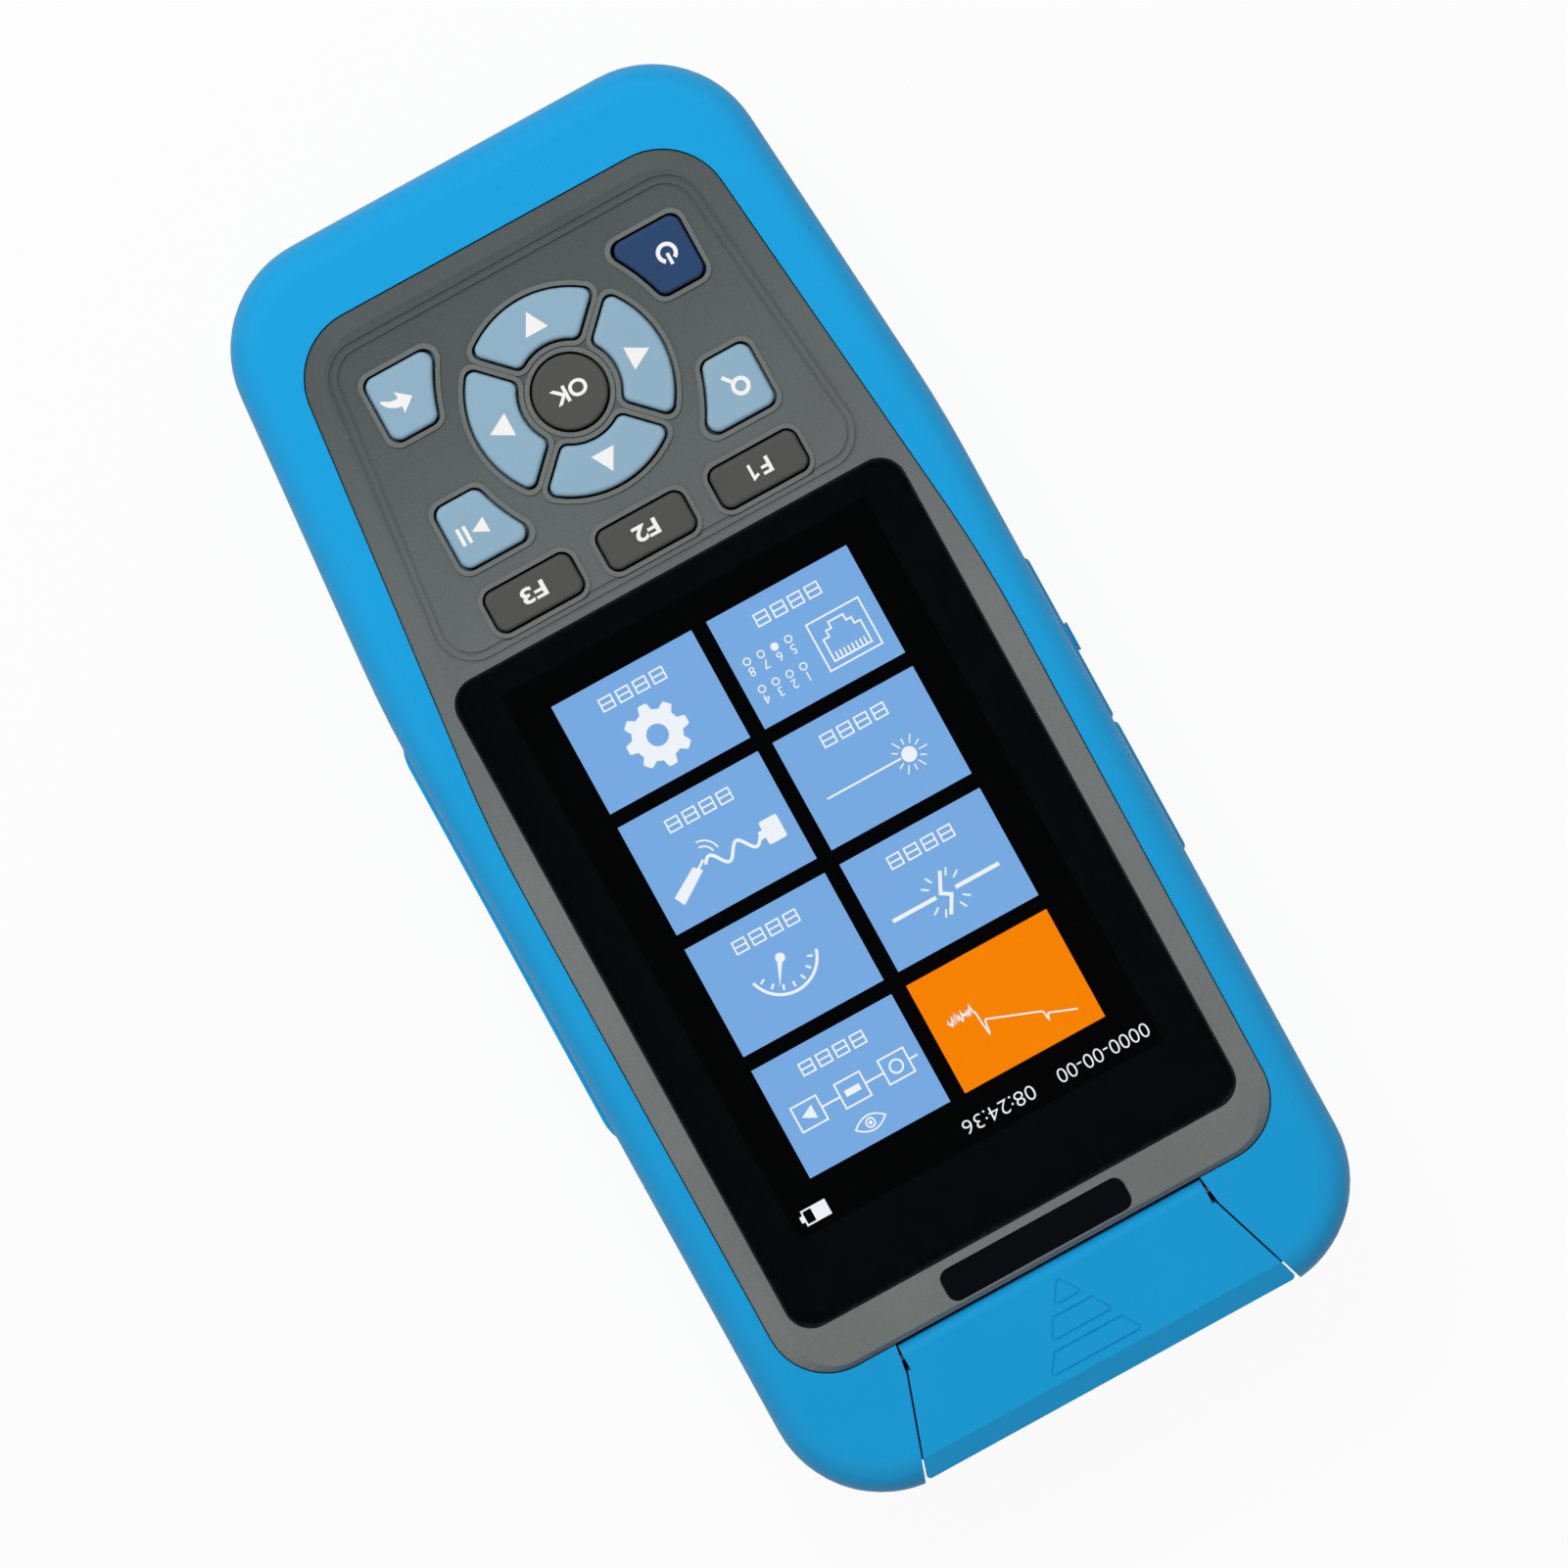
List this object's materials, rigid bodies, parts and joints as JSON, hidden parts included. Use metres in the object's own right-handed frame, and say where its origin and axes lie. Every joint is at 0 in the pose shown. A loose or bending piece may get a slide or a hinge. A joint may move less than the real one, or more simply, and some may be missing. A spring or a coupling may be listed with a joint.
{
  "type": "optical time domain reflectometer",
  "caption": "Handheld fibre tester with a colour display, a keypad with an arrow ring, a rubber bumper, a hinged flap over the fibre ports and side covers over its sockets.",
  "frame": {"origin": "below the middle of the outline, at the level of the bumper's lowest face; the instrument lies on its back", "axes": "+Z out of the screen, +Y towards the fibre ports along the length, +X to the instrument's right-hand side"},
  "size_m": [0.0776, 0.166, 0.036],
  "materials": {
    "bumper_blue": "satin",
    "shell_grey": "fine grain",
    "panel_black": "fine grain",
    "window_black": "gloss",
    "plate_black": "gloss",
    "key_light_blue": "satin",
    "key_navy": "satin",
    "key_dark": "satin",
    "silicone_grey": "matt",
    "board_green": "solder mask",
    "display_metal": "satin",
    "module_metal": "brushed",
    "adapter_metal": "nickel plated",
    "steel": "zinc plated",
    "contact_gold": "gold plated",
    "battery_wrap": "shrink film",
    "socket_black": "moulded",
    "fibre_yellow": "fibre coating"
  },
  "bodies": {
    "housing": {"front_shell": "shell_grey", "rear_shell": "shell_grey", "battery_cover": "shell_grey", "bumper": "bumper_blue", "display_window": "window_black", "name_plate": "plate_black", "lcd_module": "display_metal", "keypad_mat": "silicone_grey", "key_board": "board_green", "main_board": "board_green", "case_screws": "steel", "main_board_screws": "steel", "key_board_screws": "steel", "battery_cover_screws": "steel", "port_panel": "panel_black", "otdr_adapter": "adapter_metal", "power_meter_adapter": "adapter_metal", "fault_locator_adapter": "adapter_metal", "adapter_nuts": "adapter_metal", "power_meter_detector": "adapter_metal", "fault_locator_laser": "contact_gold", "flap_hinge_pin": "steel", "network_socket": "socket_black", "network_contacts": "contact_gold", "charging_socket": "adapter_metal", "battery_pack": "battery_wrap", "battery_contacts": "contact_gold", "otdr_module": "module_metal", "fibre_reel": "panel_black", "pigtail_coil": "fibre_yellow", "buzzer": "socket_black"},
    "port_flap": {"port_flap": "bumper_blue"},
    "charging_cover": {"charging_cover": "bumper_blue"},
    "network_cover": {"network_cover": "bumper_blue"},
    "key_up": {"key_up": "key_light_blue"},
    "key_down": {"key_down": "key_light_blue"},
    "key_left": {"key_left": "key_light_blue"},
    "key_right": {"key_right": "key_light_blue"},
    "key_zoom": {"key_zoom": "key_light_blue"},
    "key_play": {"key_play": "key_light_blue"},
    "key_back": {"key_back": "key_light_blue"},
    "key_power": {"key_power": "key_navy"},
    "key_ok": {"key_ok": "key_dark"},
    "key_f1": {"key_f1": "key_dark"},
    "key_f2": {"key_f2": "key_dark"},
    "key_f3": {"key_f3": "key_dark"}
  },
  "joints": [
    {"name": "flap_hinge", "type": "hinge", "parent": "housing", "child": "port_flap", "pos_m": [0, 0.0681, 0.0327], "axis": [1, 0, 0], "range_deg": [0, 90]},
    {"name": "charging_cover_hinge", "type": "hinge", "parent": "housing", "child": "charging_cover", "pos_m": [-0.03715, 0.00275, 0.00695], "axis": [0, -1, 0], "range_deg": [0, 95]},
    {"name": "network_cover_hinge", "type": "hinge", "parent": "housing", "child": "network_cover", "pos_m": [-0.03715, 0.02275, 0.00695], "axis": [0, -1, 0], "range_deg": [0, 95]},
    {"name": "key_up_press", "type": "slide", "parent": "housing", "child": "key_up", "axis": [0, 0, 1], "range_m": [-0.0006, 0], "stiffness_N_per_m": 800, "springref_m": 0.0004},
    {"name": "key_down_press", "type": "slide", "parent": "housing", "child": "key_down", "axis": [0, 0, 1], "range_m": [-0.0006, 0], "stiffness_N_per_m": 800, "springref_m": 0.0004},
    {"name": "key_left_press", "type": "slide", "parent": "housing", "child": "key_left", "axis": [0, 0, 1], "range_m": [-0.0006, 0], "stiffness_N_per_m": 800, "springref_m": 0.0004},
    {"name": "key_right_press", "type": "slide", "parent": "housing", "child": "key_right", "axis": [0, 0, 1], "range_m": [-0.0006, 0], "stiffness_N_per_m": 800, "springref_m": 0.0004},
    {"name": "key_zoom_press", "type": "slide", "parent": "housing", "child": "key_zoom", "axis": [0, 0, 1], "range_m": [-0.0006, 0], "stiffness_N_per_m": 800, "springref_m": 0.0004},
    {"name": "key_play_press", "type": "slide", "parent": "housing", "child": "key_play", "axis": [0, 0, 1], "range_m": [-0.0006, 0], "stiffness_N_per_m": 800, "springref_m": 0.0004},
    {"name": "key_back_press", "type": "slide", "parent": "housing", "child": "key_back", "axis": [0, 0, 1], "range_m": [-0.0006, 0], "stiffness_N_per_m": 800, "springref_m": 0.0004},
    {"name": "key_power_press", "type": "slide", "parent": "housing", "child": "key_power", "axis": [0, 0, 1], "range_m": [-0.0006, 0], "stiffness_N_per_m": 800, "springref_m": 0.0004},
    {"name": "key_ok_press", "type": "slide", "parent": "housing", "child": "key_ok", "axis": [0, 0, 1], "range_m": [-0.0006, 0], "stiffness_N_per_m": 800, "springref_m": 0.0004},
    {"name": "key_f1_press", "type": "slide", "parent": "housing", "child": "key_f1", "axis": [0, 0, 1], "range_m": [-0.0006, 0], "stiffness_N_per_m": 800, "springref_m": 0.0004},
    {"name": "key_f2_press", "type": "slide", "parent": "housing", "child": "key_f2", "axis": [0, 0, 1], "range_m": [-0.0006, 0], "stiffness_N_per_m": 800, "springref_m": 0.0004},
    {"name": "key_f3_press", "type": "slide", "parent": "housing", "child": "key_f3", "axis": [0, 0, 1], "range_m": [-0.0006, 0], "stiffness_N_per_m": 800, "springref_m": 0.0004}
  ]
}
